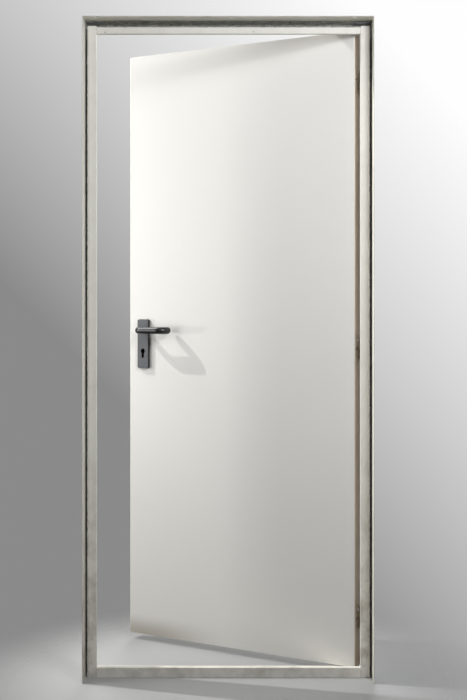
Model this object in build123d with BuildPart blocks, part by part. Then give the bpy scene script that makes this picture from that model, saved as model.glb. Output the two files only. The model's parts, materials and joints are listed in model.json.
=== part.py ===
"""Steel multi-purpose door with its folded sheet frame, in mm and real size.

X runs to the right as seen from the push side, Y runs away through the doorway, Z is up.
The origin is the middle of the frame's underside, in the plane of the frame's front face.
The leaf, its lock and its handles are drawn shut and then swung to the angle at which they rest.
"""
import os

from build123d import *

os.makedirs("parts", exist_ok=True)

# Frame
FRAME_W = 900.0        # outer width
FRAME_H = 2055.0       # outer height
SHEET = 1.5            # frame sheet
LEG = 57.0             # the leg stands this far in front of the face
STOP = 15.0            # depth of the stop behind the face
FACE_IN = 37.5         # the clear passage starts this far in from the frame's outer sides
SIDE_GAP = 4.5         # open slot between face and leg on the jambs
HEAD_DROP = 43.0       # from the top of the frame down to the clear height
HEAD_GAP = 16.5        # open slot between face and leg on the head
SILL_H = 32.0          # face of the sill
HEAD_REBATE = 23.8     # from the top of the frame down to the rebate wall of the head
SILL_REBATE = 19.0     # height of the sill's rebate
LIP = 14.0             # folded edge behind the face
FACE_R = 9.0           # soft outer corner of the face
BEND_R = 2.5           # ordinary outer bend
FIX_R = 4.5            # wall fixing holes
FIX_Y = -38.0          # their line on the leg
HEAD_FIX_X = (40.0 - FRAME_W / 2, 8.0, FRAME_W / 2 - 60.0)
JAMB_FIX_Z = (720.0, FRAME_H - 675.0, FRAME_H - 60.0)
LOCK_FIX_Z = (97.0, *JAMB_FIX_Z)
HINGE_FIX_Z = (72.0, 146.0, *JAMB_FIX_Z)

# Leaf
LAP = 12.5             # the leaf laps over the stop by this much on each side
EDGE_GAP = 4.2         # between leaf and rebate wall, at the sides and the top
FOOT_GAP = 4.0         # under the leaf
SEAL_SPACE = 3.0       # between stop and leaf when it is shut
LEAF_T = 44.0
SKIN = 1.0
SKIN_R = 3.5           # rounded upright edges of the front skin
STILE_D = 24.0         # depth of the upright channels inside the leaf
OPEN = 28.4            # resting angle of the leaf, in degrees from shut

# Hinges
PIN_R = 5.0
RUN = 0.05             # running clearance on the radius
KNUCKLE_R = 8.5
FLAP_T = 3.0
FLAP_H = 80.0
FLAP_R = 6.0
KNUCKLE_IN = 3.6       # hinge line in from the rebate wall
KNUCKLE_OUT = 17.0     # hinge line behind the leaf
HINGE_END = 150.0      # outer hinges from the leaf's foot and top
HINGE_SCREW_DZ = 27.0
BACKING_H = FLAP_H + 10.0          # threaded plates behind the rebate wall
WASHER_T = 1.0

# Lock and handles
BACKSET = 60.0
SPINDLE_Z = 1077.0
LOCK_CENTRES = 72.0    # from the spindle down to the cylinder
CYLINDER_Z = SPINDLE_Z - LOCK_CENTRES
LATCH_Z = SPINDLE_Z + 16.0
BOLT_Z = SPINDLE_Z - 40.0
LATCH_OUT = 12.0
LOCK_T = 15.0
CASE_DOWN, CASE_UP, CASE_BEYOND = LOCK_CENTRES + 48.0, 45.0, 30.0      # lock case around the spindle
FOREND_W, FOREND_DOWN, FOREND_UP = 20.0, LOCK_CENTRES + 88.0, 75.0
PLATE_UP, PLATE_DOWN = 37.5, 60.5      # cover plate above the spindle and below the cylinder
PLATE_W, PLATE_H, PLATE_T = 45.0, PLATE_UP + LOCK_CENTRES + PLATE_DOWN, 10.0
PLATE_Z = SPINDLE_Z + PLATE_UP - PLATE_H / 2
LEVER_R = 11.0
LEVER_OUT = 49.0       # centre line of the grip from the leaf
LEVER_LENGTH = 107.0   # spindle to the centre of the returned end
JOURNAL_R = 9.0

# Derived places
X_OUT = FRAME_W / 2
X_CLEAR = X_OUT - FACE_IN
X_FACE = X_OUT - SHEET - SIDE_GAP
X_LEAF = X_CLEAR + LAP
X_REBATE = X_LEAF + EDGE_GAP
Z_CLEAR = FRAME_H - HEAD_DROP
Z_FACE = FRAME_H - SHEET - HEAD_GAP
Z_REBATE = FRAME_H - HEAD_REBATE
LEAF_BOTTOM = SILL_REBATE + FOOT_GAP
LEAF_TOP = Z_REBATE - EDGE_GAP
LEAF_Y = STOP + SEAL_SPACE         # front of the leaf when it is shut
LEAF_BACK = LEAF_Y + LEAF_T
DEPTH = LEAF_BACK                  # the frame's pull-side face is flush with the leaf
Y_MID = LEAF_Y + LEAF_T / 2
SPINDLE_X = -X_LEAF + BACKSET
WEB_X = X_LEAF - FLAP_T            # seat of the hinge flaps on the upright channels
HINGE_X = X_REBATE - KNUCKLE_IN
HINGE_Y = LEAF_BACK + KNUCKLE_OUT
HINGE_Z = (LEAF_BOTTOM + HINGE_END, (LEAF_BOTTOM + LEAF_TOP) / 2 + 2.0, LEAF_TOP - HINGE_END)


def block(x, y, z, mode=Mode.ADD):
    """A rectangular piece drawn on its lower plane; x, y and z are (low, high) pairs."""
    with BuildSketch(Plane.XY.offset(min(z))) as plan:
        with Locations(((x[0] + x[1]) / 2, (y[0] + y[1]) / 2)):
            Rectangle(abs(x[1] - x[0]), abs(y[1] - y[0]))
    extrude(plan.sketch, amount=abs(z[1] - z[0]), mode=mode)


def disc_x(x, y, z, r, mode=Mode.ADD):
    """A round piece along X from x[0] to x[1], centred at y and z."""
    with BuildSketch(Plane.YZ.offset(x[0])) as round_face:
        with Locations((y, z)):
            Circle(r)
    extrude(round_face.sketch, amount=x[1] - x[0], mode=mode)


def disc_y(x, y, z, r, mode=Mode.ADD):
    """A round piece along Y from y[0] to y[1], centred at x and z."""
    with BuildSketch(Plane.XZ.offset(-y[0])) as round_face:
        with Locations((x, z)):
            Circle(r)
    extrude(round_face.sketch, amount=-(y[1] - y[0]), mode=mode)


def disc_z(x, y, z, r, mode=Mode.ADD):
    """A round piece along Z from z[0] to z[1], centred at x and y."""
    with BuildSketch(Plane.XY.offset(z[0])) as round_face:
        with Locations((x, y)):
            Circle(r)
    extrude(round_face.sketch, amount=z[1] - z[0], mode=mode)


def folded(plane, points, radii, sheet=SHEET):
    """A folded sheet section: the shown surface with its bends, its metal inside their outline."""
    width = max(u for u, v in points) - min(u for u, v in points)
    for side in (Side.LEFT, Side.RIGHT):
        with BuildSketch(plane) as section:
            with BuildLine():
                FilletPolyline(*points, radius=radii)
                offset(amount=sheet, side=side)
            make_face()
        if section.sketch_local.bounding_box().size.X < width + sheet / 2:
            return section.sketch


def finish(piece, name):
    """Labels one finished piece and writes it out."""
    piece.part.label = name
    export_step(piece.part, f"parts/{name}.step")


def swung(piece):
    """Turns a piece of the leaf from shut to its resting angle about the hinge line."""
    piece.part = piece.part.rotate(Axis((HINGE_X, HINGE_Y, 0), (0, 0, 1)), -OPEN)


# The jambs: leg, pull-side face, rebate wall, stop and front face folded from one sheet
JAMB_PATH = [
    (X_OUT, -LEG), (X_OUT, DEPTH), (X_REBATE, DEPTH), (X_REBATE, STOP),
    (X_CLEAR, STOP), (X_CLEAR, 0), (X_FACE, 0), (X_FACE, LIP),
]
JAMB_BENDS = [BEND_R, BEND_R, BEND_R - SHEET, BEND_R, BEND_R, FACE_R]


def jamb(side, fix_z):
    """One upright of the frame, notched at the top where the head comes in."""
    extrude(folded(Plane.XY, [(side * x, y) for x, y in JAMB_PATH], JAMB_BENDS), amount=FRAME_H - SHEET)
    x = (side * (X_CLEAR - 1), side * (X_OUT - SHEET - 0.3))
    block(x, (-LEG, STOP), (Z_FACE, FRAME_H), Mode.SUBTRACT)
    block(x, (STOP - SHEET, DEPTH - SHEET), (Z_REBATE + SHEET, FRAME_H), Mode.SUBTRACT)
    low, high = sorted((side * (X_OUT - 2 * SHEET), side * (X_OUT + SHEET)))
    for z in fix_z:
        disc_x((low, high), FIX_Y, z, FIX_R, Mode.SUBTRACT)
    for z in BRACKET_SCREW_Z:
        disc_x((low, high), BRACKET_Y, z, 2.1, Mode.SUBTRACT)


# Angles that tie the head to the jambs, inside the hollow of the section
BRACKET_W, BRACKET_T, BRACKET_ARM, BRACKET_Y = 24.0, 2.0, 52.0, DEPTH - 24.0
BRACKET_TOP = FRAME_H - SHEET
BRACKET_SCREW_Z = (BRACKET_TOP - 22, BRACKET_TOP - 42)
BRACKET_SCREW_X = (X_OUT - SHEET - 22, X_OUT - SHEET - 42)

# Places that leaf and frame share: strike windows and hinge screws
STRIKE_T = 1.5
LATCH_HOLE = (Y_MID - 9.5, Y_MID + 9.5, LATCH_Z - 18, LATCH_Z + 18)
BOLT_HOLE = (Y_MID - 8.5, Y_MID + 8.5, BOLT_Z - 20, BOLT_Z + 20)
STRIKE_SCREW_Z = (LATCH_Z + 32, BOLT_Z - 34)
SCREW_Y = LEAF_BACK - 14.0         # hinge screws in the leaf; those in the frame sit 2 mm further forward


def slot_in_x(x, hole, mode=Mode.SUBTRACT, radius=2.0):
    """A rounded window through sheet that faces along X; hole is y low, y high, z low, z high."""
    y0, y1, z0, z1 = hole
    with BuildSketch(Plane.YZ.offset(min(x))) as window:
        with Locations(((y0 + y1) / 2, (z0 + z1) / 2)):
            RectangleRounded(y1 - y0, z1 - z0, radius)
    extrude(window.sketch, amount=abs(x[1] - x[0]), mode=mode)


with BuildPart() as hinge_jamb:
    jamb(1, HINGE_FIX_Z)
    for zc in HINGE_Z:
        for dz in (-HINGE_SCREW_DZ, HINGE_SCREW_DZ):
            disc_x((X_REBATE - 1, X_REBATE + 3), SCREW_Y - 2, zc + dz, 3.2, Mode.SUBTRACT)
finish(hinge_jamb, "hinge_jamb")

with BuildPart() as lock_jamb:
    jamb(-1, LOCK_FIX_Z)
    for hole in (LATCH_HOLE, BOLT_HOLE):
        slot_in_x((-X_REBATE - 3, -X_REBATE + 1), hole)
    for z in STRIKE_SCREW_Z:
        disc_x((-X_REBATE - 3, -X_REBATE + 1), Y_MID, z, 2.6, Mode.SUBTRACT)
finish(lock_jamb, "lock_jamb")

def bend_relief(side, z):
    """Room for the inner bend of a jamb where a cross piece butts into its rebate."""
    r = BEND_R - SHEET + 0.1
    block((side * (X_REBATE - r), side * (X_REBATE + 1)), (STOP - 1, STOP + r), z, Mode.SUBTRACT)


# The head has the jambs' section with a wider slot under its leg; its stop fits between theirs
HEAD_PATH = [
    (-LEG, FRAME_H), (DEPTH, FRAME_H), (DEPTH, Z_REBATE), (STOP, Z_REBATE),
    (STOP, Z_CLEAR), (0, Z_CLEAR), (0, Z_FACE), (LIP, Z_FACE),
]

with BuildPart() as head:
    extrude(folded(Plane.YZ.offset(-X_OUT), HEAD_PATH, JAMB_BENDS), amount=FRAME_W)
    for side in (-1, 1):
        block((side * X_REBATE, side * (X_OUT + 1)), (-LEG, DEPTH + 1), (Z_CLEAR - 1, FRAME_H - SHEET),
              Mode.SUBTRACT)
        block((side * X_CLEAR, side * (X_REBATE + 1)), (-LEG, STOP), (Z_CLEAR - 1, FRAME_H - SHEET),
              Mode.SUBTRACT)
        bend_relief(side, (Z_CLEAR - 1, FRAME_H - SHEET))
        for x in BRACKET_SCREW_X:
            disc_z(side * x, BRACKET_Y, (FRAME_H - 4, FRAME_H + 1), 2.1, Mode.SUBTRACT)
    for x in HEAD_FIX_X:
        disc_z(x, FIX_Y, (FRAME_H - 4, FRAME_H + 1), FIX_R, Mode.SUBTRACT)
    disc_y(26.5 - X_CLEAR, (-1, 4), Z_CLEAR + 5.5, 2.0, Mode.SUBTRACT)
finish(head, "head")

SILL_PATH = [
    (0, 0), (0, SILL_H), (STOP, SILL_H), (STOP, SILL_REBATE), (DEPTH, SILL_REBATE), (DEPTH, 0),
]

SILL_BENDS = [BEND_R, BEND_R, BEND_R - SHEET, BEND_R]

with BuildPart() as sill:
    extrude(folded(Plane.YZ.offset(-X_REBATE), SILL_PATH, SILL_BENDS), amount=2 * X_REBATE)
    for side in (-1, 1):
        block((side * X_CLEAR, side * (X_REBATE + 1)), (-1, STOP), (-1, SILL_H + 1), Mode.SUBTRACT)
        bend_relief(side, (-1, SILL_H + 1))
finish(sill, "sill")

with BuildPart() as corner_brackets:
    for side in (-1, 1):
        xo = X_OUT - SHEET
        path = [(side * (xo - BRACKET_ARM), BRACKET_TOP), (side * xo, BRACKET_TOP),
                (side * xo, BRACKET_TOP - BRACKET_ARM)]
        extrude(folded(Plane.XZ.offset(-(BRACKET_Y - BRACKET_W / 2)), path, [3.0], BRACKET_T),
                amount=-BRACKET_W)
        low, high = sorted((side * (xo - 4), side * (xo + 1)))
        for z in BRACKET_SCREW_Z:
            disc_x((low, high), BRACKET_Y, z, 2.1, Mode.SUBTRACT)
        for x in BRACKET_SCREW_X:
            disc_z(side * x, BRACKET_Y, (BRACKET_TOP - 4, BRACKET_TOP + 1), 2.1, Mode.SUBTRACT)
finish(corner_brackets, "corner_brackets")


def screw(face, out, head_r, head_h, r, length):
    """A countersunk screw: face is the middle of its flush head, out points out of the surface."""
    plane = Plane(origin=face, z_dir=[-c for c in out])
    with BuildSketch(plane) as top:
        Circle(head_r)
    with BuildSketch(plane.offset(head_h)) as shank:
        Circle(r)
    loft([top.sketch.face(), shank.sketch.face()])
    extrude(shank.sketch, amount=length - head_h)
    with BuildSketch(plane) as socket:
        RegularPolygon(radius=head_r * 0.42, side_count=6)
    extrude(socket.sketch, amount=head_h * 0.8, mode=Mode.SUBTRACT)


def countersink(face, out, head_r, head_h, r, length):
    """The matching seat, a little larger all round so that the screw drops in."""
    gap = 0.1
    plane = Plane(origin=face, z_dir=[-c for c in out])
    with BuildSketch(plane) as top:
        Circle(head_r + gap)
    with BuildSketch(plane.offset(head_h)) as shank:
        Circle(r + gap)
    loft([top.sketch.face(), shank.sketch.face()], mode=Mode.SUBTRACT)
    extrude(shank.sketch, amount=length, mode=Mode.SUBTRACT)


with BuildPart() as corner_screws:
    for side in (-1, 1):
        xi = X_OUT - SHEET - BRACKET_T
        for z in BRACKET_SCREW_Z:
            low, high = sorted((side * xi, side * (xi - 2)))
            disc_x((low, high), BRACKET_Y, z, 4.0)
            low, high = sorted((side * xi, side * (X_OUT - 0.2)))
            disc_x((low, high), BRACKET_Y, z, 2.0)
        for x in BRACKET_SCREW_X:
            disc_z(side * x, BRACKET_Y, (BRACKET_TOP - BRACKET_T - 2, BRACKET_TOP - BRACKET_T), 4.0)
            disc_z(side * x, BRACKET_Y, (BRACKET_TOP - BRACKET_T, FRAME_H - 0.2), 2.0)
finish(corner_screws, "corner_screws")

# A soft seal runs round the stop, where the leaf closes against it
SEAL_T, SEAL_W = SEAL_SPACE - 0.3, 7.0
SEAL_X, SEAL_TOP, SEAL_BOTTOM = X_CLEAR + 2.5, Z_CLEAR + 3.0, SILL_H - 8.0

with BuildPart() as rebate_seal:
    with BuildSketch(Plane.XZ.offset(-STOP)) as ring:
        with Locations((0, (SEAL_TOP + SEAL_W + SEAL_BOTTOM) / 2)):
            Rectangle(2 * (SEAL_X + SEAL_W), SEAL_TOP + SEAL_W - SEAL_BOTTOM)
        with Locations((0, (SEAL_TOP + SEAL_BOTTOM + SEAL_W) / 2)):
            Rectangle(2 * SEAL_X, SEAL_TOP - SEAL_BOTTOM - SEAL_W, mode=Mode.SUBTRACT)
    extrude(ring.sketch, amount=-SEAL_T)
    fillet(rebate_seal.faces().sort_by(Axis.Y)[-1].edges(), radius=1.6)
finish(rebate_seal, "rebate_seal")

# Strike plate behind the rebate wall of the lock jamb, with a box that keeps mortar out
with BuildPart() as strike_plate:
    xs = -X_REBATE - SHEET
    slot_in_x((xs - STRIKE_T, xs), (Y_MID - 16, Y_MID + 16, BOLT_Z - 42, LATCH_Z + 42), Mode.ADD, 4.0)
    for hole in (LATCH_HOLE, BOLT_HOLE):
        slot_in_x((xs - STRIKE_T - 1, xs + 1), hole)
    for z in STRIKE_SCREW_Z:
        disc_x((xs - STRIKE_T - 1, xs + 1), Y_MID, z, 2.6, Mode.SUBTRACT)
finish(strike_plate, "strike_plate")

with BuildPart() as strike_box:
    x0, x1 = -X_OUT + SHEET + 0.5, -X_REBATE - SHEET - STRIKE_T
    block((x0, x1), (Y_MID - 14, Y_MID + 14), (BOLT_Z - 26, LATCH_Z + 24))
    block((x0 + 0.8, x1 + 1), (Y_MID - 13.2, Y_MID + 13.2), (BOLT_Z - 25.2, LATCH_Z + 23.2), Mode.SUBTRACT)
finish(strike_box, "strike_box")

with BuildPart() as strike_screws:
    for z in STRIKE_SCREW_Z:
        disc_x((-X_REBATE, -X_REBATE + 1.2), Y_MID, z, 4.2)
        disc_x((-X_REBATE - 7, -X_REBATE), Y_MID, z, 2.5)
        disc_x((-X_REBATE + 0.5, -X_REBATE + 2), Y_MID, z, 1.6, Mode.SUBTRACT)
finish(strike_screws, "strike_screws")


def flap(x, y, zc, tab, tab_half):
    """A hinge flap: a rounded plate with a tab, on one half of its height, back to the knuckle."""
    with BuildSketch(Plane.YZ.offset(x[0])) as plate:
        with Locations(((y[0] + y[1]) / 2, zc)):
            RectangleRounded(y[1] - y[0], FLAP_H, FLAP_R)
        with Locations(((tab[0] + tab[1]) / 2, zc + tab_half * FLAP_H / 4)):
            Rectangle(tab[1] - tab[0], FLAP_H / 2 - 3.4)
    extrude(plate.sketch, amount=x[1] - x[0])


FRAME_SCREW = (4.6, 2.3, 2.5, 9.0)
LEAF_SCREW = (4.6, 2.3, 2.5, 12.0)


def frame_hinge(zc):
    """The lower half of a hinge, flap on the rebate wall, with a blind seat for the pin."""
    flap((X_REBATE - FLAP_T, X_REBATE), (DEPTH - 35, DEPTH), zc, (DEPTH - 12, HINGE_Y), -1)
    disc_z(HINGE_X, HINGE_Y, (zc - FLAP_H / 2 + 1, zc - WASHER_T - 0.3), KNUCKLE_R)
    disc_z(HINGE_X, HINGE_Y, (zc - FLAP_H / 2 + 5, zc + 1), PIN_R + RUN, Mode.SUBTRACT)
    for dz in (-HINGE_SCREW_DZ, HINGE_SCREW_DZ):
        countersink((X_REBATE - FLAP_T, SCREW_Y - 2, zc + dz), (-1, 0, 0), *FRAME_SCREW)


def leaf_hinge(zc):
    """The upper half of a hinge, flap let into the leaf's edge, bored for the pin from below."""
    flap((WEB_X, X_LEAF), (LEAF_Y + SKIN_R, LEAF_BACK), zc, (LEAF_BACK - 12, HINGE_Y), 1)
    disc_z(HINGE_X, HINGE_Y, (zc, zc + FLAP_H / 2 - 1), KNUCKLE_R)
    disc_z(HINGE_X, HINGE_Y, (zc - 1, zc + FLAP_H / 2 - 5), PIN_R + RUN, Mode.SUBTRACT)
    for dz in (-HINGE_SCREW_DZ, HINGE_SCREW_DZ):
        countersink((X_LEAF, SCREW_Y, zc + dz), (1, 0, 0), *LEAF_SCREW)
    disc_x((WEB_X - 1, X_LEAF + 1), Y_MID - 5, zc, 4.8, Mode.SUBTRACT)


for zc, place in zip(HINGE_Z, ("lower", "middle", "upper")):
    with BuildPart() as fixed_half:
        frame_hinge(zc)
    finish(fixed_half, f"{place}_hinge_frame_half")
    with BuildPart() as moving_half:
        leaf_hinge(zc)
    swung(moving_half)
    finish(moving_half, f"{place}_hinge_leaf_half")

with BuildPart() as hinge_pins:
    for zc in HINGE_Z:
        disc_z(HINGE_X, HINGE_Y, (zc - FLAP_H / 2 + 5, zc + FLAP_H / 2 - 5.4), PIN_R)
    tips = hinge_pins.faces().filter_by(Axis.Z)
    chamfer(tips.edges(), length=0.8)
finish(hinge_pins, "hinge_pins")

with BuildPart() as hinge_washers:
    for zc in HINGE_Z:
        disc_z(HINGE_X, HINGE_Y, (zc - WASHER_T - 0.3, zc - 0.3), KNUCKLE_R - 0.3)
        disc_z(HINGE_X, HINGE_Y, (zc - WASHER_T - 1, zc + 1), PIN_R + RUN, Mode.SUBTRACT)
finish(hinge_washers, "hinge_washers")

with BuildPart() as frame_hinge_screws:
    for zc in HINGE_Z:
        for dz in (-HINGE_SCREW_DZ, HINGE_SCREW_DZ):
            screw((X_REBATE - FLAP_T, SCREW_Y - 2, zc + dz), (-1, 0, 0), *FRAME_SCREW)
finish(frame_hinge_screws, "frame_hinge_screws")

with BuildPart() as hinge_backing_plates:
    x0 = X_REBATE + SHEET
    for zc in HINGE_Z:
        outline = (DEPTH - 36, DEPTH - 3, zc - BACKING_H / 2, zc + BACKING_H / 2)
        slot_in_x((x0, x0 + 4), outline, Mode.ADD, 3.0)
        for dz in (-HINGE_SCREW_DZ, HINGE_SCREW_DZ):
            disc_x((x0 - 1, x0 + 5), SCREW_Y - 2, zc + dz, 2.6, Mode.SUBTRACT)
finish(hinge_backing_plates, "hinge_backing_plates")

# The front skin is a tray whose rounded upright edges make the leaf's edges
FLAP_NOTCH = 0.3
EDGE_HOLES = (HINGE_Z[0] + 46, HINGE_Z[1] - 50, HINGE_Z[1] + 50, HINGE_Z[2] - 53)
FOREND = (Y_MID - FOREND_W / 2, Y_MID + FOREND_W / 2, SPINDLE_Z - FOREND_DOWN, SPINDLE_Z + FOREND_UP)


def euro_hole(y, grow=0.0):
    """The keyhole-shaped way for a profile cylinder, cut along Y."""
    r, w = 8.5 + grow, 5.0 + grow
    with BuildSketch(Plane.XZ.offset(-y[0])) as keyhole:
        with Locations((SPINDLE_X, CYLINDER_Z)):
            Circle(r)
        with Locations((SPINDLE_X, CYLINDER_Z - 9.75)):
            Rectangle(2 * w, 19.5)
        with Locations((SPINDLE_X, CYLINDER_Z - 19.5)):
            Circle(w)
    extrude(keyhole.sketch, amount=-(y[1] - y[0]), mode=Mode.SUBTRACT)


def lock_ways(y, grow=0.0):
    """Spindle way, cylinder way and the two plate bolts through a skin or the core."""
    disc_y(SPINDLE_X, y, SPINDLE_Z, 10.5 + grow, Mode.SUBTRACT)
    euro_hole(y, 0.5 + grow)
    for z in PLATE_BOLT_Z:
        disc_y(SPINDLE_X, y, z, 4.8 + grow, Mode.SUBTRACT)


PLATE_BOLT_Z = (SPINDLE_Z + 30, PLATE_Z - PLATE_H / 2 + 8)


def flap_notches(depth):
    """Openings for the hinge flaps in the sheet of the leaf's hinge edge."""
    for zc in HINGE_Z:
        slot_in_x((X_LEAF - depth, X_LEAF + 1),
                  (LEAF_Y + SKIN_R - FLAP_NOTCH, LEAF_BACK + 8, zc - FLAP_H / 2 - FLAP_NOTCH,
                   zc + FLAP_H / 2 + FLAP_NOTCH), Mode.SUBTRACT, FLAP_R)


with BuildPart() as front_skin:
    tray = [(-X_LEAF, LEAF_BACK - SKIN), (-X_LEAF, LEAF_Y), (X_LEAF, LEAF_Y), (X_LEAF, LEAF_BACK - SKIN)]
    extrude(folded(Plane.XY.offset(LEAF_BOTTOM), tray, [SKIN_R, SKIN_R], SKIN),
            amount=LEAF_TOP - LEAF_BOTTOM)
    flap_notches(2.0)
    slot_in_x((-X_LEAF - 1, -X_LEAF + 2), FOREND, Mode.SUBTRACT, 0.5)
    for z in EDGE_HOLES:
        disc_x((X_LEAF - 2, X_LEAF + 1), Y_MID - 6, z, 2.2, Mode.SUBTRACT)
    lock_ways((LEAF_Y - 1, LEAF_Y + 3))
swung(front_skin)
finish(front_skin, "front_skin")

# The back skin closes the tray like a lid: a rim inside the hinge edge, flat on the lock edge
with BuildPart() as back_skin:
    block((-X_LEAF, X_LEAF), (LEAF_BACK - SKIN, LEAF_BACK), (LEAF_BOTTOM, LEAF_TOP))
    block((X_LEAF - 2 * SKIN, X_LEAF - SKIN), (LEAF_BACK - 13, LEAF_BACK - SKIN),
          (LEAF_BOTTOM + 8, LEAF_TOP - 8))
    flap_notches(4.0)
    lock_ways((LEAF_BACK - 3, LEAF_BACK + 1))
swung(back_skin)
finish(back_skin, "back_skin")


def stile(side):
    """An upright channel inside the leaf's edge, web outwards, flanges on the skins."""
    t = 1.5
    x, tip = WEB_X * side, (WEB_X - STILE_D) * side
    y0, y1 = LEAF_Y + SKIN, LEAF_BACK - SKIN
    section = folded(Plane.XY.offset(LEAF_BOTTOM + t), [(tip, y0), (x, y0), (x, y1), (tip, y1)],
                     [2.2, 2.2], t)
    extrude(section, amount=LEAF_TOP - LEAF_BOTTOM - 2 * t)


with BuildPart() as hinge_stile:
    stile(1)
    for zc in HINGE_Z:
        for dz in (-HINGE_SCREW_DZ, HINGE_SCREW_DZ):
            disc_x((WEB_X - 3, WEB_X + 1), SCREW_Y, zc + dz, 2.6, Mode.SUBTRACT)
        disc_x((WEB_X - 3, WEB_X + 1), Y_MID - 5, zc, 5.2, Mode.SUBTRACT)
swung(hinge_stile)
finish(hinge_stile, "hinge_stile")

CASE_X = (-WEB_X, SPINDLE_X + CASE_BEYOND)
CASE_Y = (Y_MID - LOCK_T / 2, Y_MID + LOCK_T / 2)
CASE_Z = (SPINDLE_Z - CASE_DOWN, SPINDLE_Z + CASE_UP)
FOREND_SCREW_Z = (FOREND[2] + 10, FOREND[3] - 10)

with BuildPart() as lock_stile:
    stile(-1)
    slot_in_x((-WEB_X - 1, -WEB_X + 3),
              (CASE_Y[0] - 0.5, CASE_Y[1] + 0.5, CASE_Z[0] - 0.5, CASE_Z[1] + 0.5), Mode.SUBTRACT, 0.5)
    for z in FOREND_SCREW_Z:
        disc_x((-WEB_X - 1, -WEB_X + 3), Y_MID, z, 2.1, Mode.SUBTRACT)
swung(lock_stile)
finish(lock_stile, "lock_stile")


def end_channel(z_edge, up):
    """The channel that closes the leaf at its top or foot, its web over the upright channels."""
    t, h = 1.5, 20.0
    inner = WEB_X - STILE_D - 0.3
    block((-WEB_X - 0.8, WEB_X + 0.8), (LEAF_Y + SKIN, LEAF_BACK - SKIN), sorted((z_edge, z_edge - up * t)))
    fillet(edges().filter_by(Axis.Z), radius=3.0)
    for y in ((LEAF_Y + SKIN, LEAF_Y + SKIN + t), (LEAF_BACK - SKIN - t, LEAF_BACK - SKIN)):
        block((-inner, inner), y, sorted((z_edge - up * t, z_edge - up * h)))


with BuildPart() as top_channel:
    end_channel(LEAF_TOP, 1)
swung(top_channel)
finish(top_channel, "top_channel")

with BuildPart() as bottom_channel:
    end_channel(LEAF_BOTTOM, -1)
swung(bottom_channel)
finish(bottom_channel, "bottom_channel")

with BuildPart() as core:
    edge = WEB_X - STILE_D - 0.5
    block((-edge, edge), (LEAF_Y + SKIN, LEAF_BACK - SKIN), (LEAF_BOTTOM + 20.3, LEAF_TOP - 20.3))
    block((-edge - 1, CASE_X[1] + 2), (CASE_Y[0] - 1.5, CASE_Y[1] + 1.5), (CASE_Z[0] - 4, CASE_Z[1] + 4),
          Mode.SUBTRACT)
    lock_ways((LEAF_Y, LEAF_BACK), 1.5)
swung(core)
finish(core, "core")

# Mortise lock: case, forend, follower, latch and dead bolt
LATCH_Y = (Y_MID - 5.7, Y_MID + 5.7)
LATCH_HALF, BOLT_HALF = 14.0, 16.0

with BuildPart() as lock_case:
    w = 1.5
    block(CASE_X, CASE_Y, CASE_Z)
    block((CASE_X[0] + w, CASE_X[1] - w), (CASE_Y[0] + w, CASE_Y[1] - w), (CASE_Z[0] + w, CASE_Z[1] - w),
          Mode.SUBTRACT)
    for zc, half in ((LATCH_Z, LATCH_HALF), (BOLT_Z, BOLT_HALF)):
        slot_in_x((CASE_X[0] - 1, CASE_X[0] + 3),
                  (LATCH_Y[0] - 0.3, LATCH_Y[1] + 0.3, zc - half - 0.3, zc + half + 0.3),
                  Mode.SUBTRACT, 0.2)
    disc_y(SPINDLE_X, (CASE_Y[0] - 1, CASE_Y[1] + 1), SPINDLE_Z, 10.0 + RUN, Mode.SUBTRACT)
    euro_hole((CASE_Y[0] - 1, CASE_Y[1] + 1), 0.3)
    disc_y(SPINDLE_X, (CASE_Y[0] - 1, CASE_Y[1] + 1), PLATE_BOLT_Z[0], 3.2, Mode.SUBTRACT)
    fillet(lock_case.edges().filter_by(Axis.Y).group_by(Axis.X)[-1], radius=4.0)
swung(lock_case)
finish(lock_case, "lock_case")

with BuildPart() as forend:
    slot_in_x((-X_LEAF, -WEB_X), (FOREND[0] + 0.2, FOREND[1] - 0.2, FOREND[2] + 0.2, FOREND[3] - 0.2),
              Mode.ADD, 0.5)
    for zc, half in ((LATCH_Z, LATCH_HALF), (BOLT_Z, BOLT_HALF)):
        slot_in_x((-X_LEAF - 1, -WEB_X + 1),
                  (LATCH_Y[0] - 0.3, LATCH_Y[1] + 0.3, zc - half - 0.3, zc + half + 0.3),
                  Mode.SUBTRACT, 0.2)
    for z in FOREND_SCREW_Z:
        countersink((-X_LEAF, Y_MID, z), (-1, 0, 0), 3.8, 2.0, 2.0, 9.0)
swung(forend)
finish(forend, "forend")

with BuildPart() as forend_screws:
    for z in FOREND_SCREW_Z:
        screw((-X_LEAF, Y_MID, z), (-1, 0, 0), 3.8, 2.0, 2.0, 14.0)
swung(forend_screws)
finish(forend_screws, "forend_screws")

FOLLOWER_ARM = 17.0

with BuildPart() as follower:
    disc_y(SPINDLE_X, CASE_Y, SPINDLE_Z, 10.0)
    block((SPINDLE_X - 4, SPINDLE_X + 4), (Y_MID - 3, Y_MID + 3), (SPINDLE_Z, SPINDLE_Z + FOLLOWER_ARM))
    fillet(follower.edges().filter_by(Axis.Y).group_by(Axis.Z)[-1], radius=2.0)
    block((SPINDLE_X - 4.05, SPINDLE_X + 4.05), (CASE_Y[0] - 1, CASE_Y[1] + 1),
          (SPINDLE_Z - 4.05, SPINDLE_Z + 4.05), Mode.SUBTRACT)
swung(follower)
finish(follower, "follower")

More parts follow.
